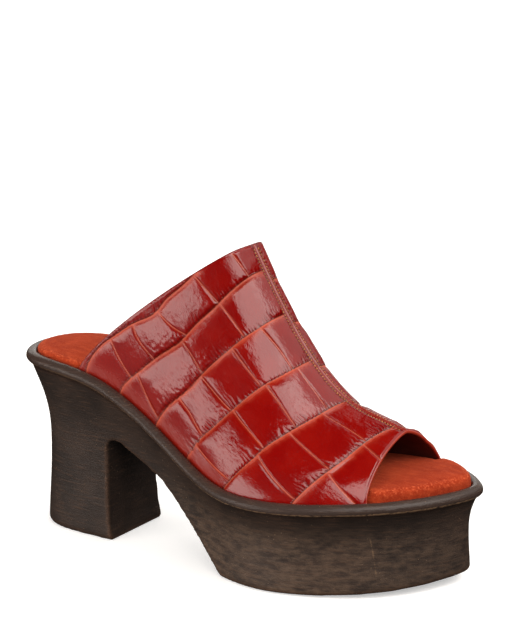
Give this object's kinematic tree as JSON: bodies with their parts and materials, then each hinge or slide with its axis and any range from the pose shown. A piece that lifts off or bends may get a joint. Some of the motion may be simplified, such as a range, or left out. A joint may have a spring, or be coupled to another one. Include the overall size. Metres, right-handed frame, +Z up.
{
  "type": "open-toe platform mule with block heel",
  "caption": "Right open-toe platform mule: embossed leather upper with a ridge seam, padded suede insole, moulded platform sole with a block heel.",
  "frame": {"origin": "on the floor under the middle of the shoe's overall box", "axes": "+X from heel to toe, +Y to the inner side of the foot, +Z up"},
  "size_m": [0.2396, 0.098, 0.1497],
  "materials": {
    "sole": "satin dark brown moulded unit with burnished, worn edges",
    "insole": "orange-red suede with a soft nap",
    "upper": "glossy red leather embossed with large scales"
  },
  "bodies": {
    "root": {"sole_unit": "sole", "insole": "insole", "upper": "upper"}
  },
  "joints": []
}
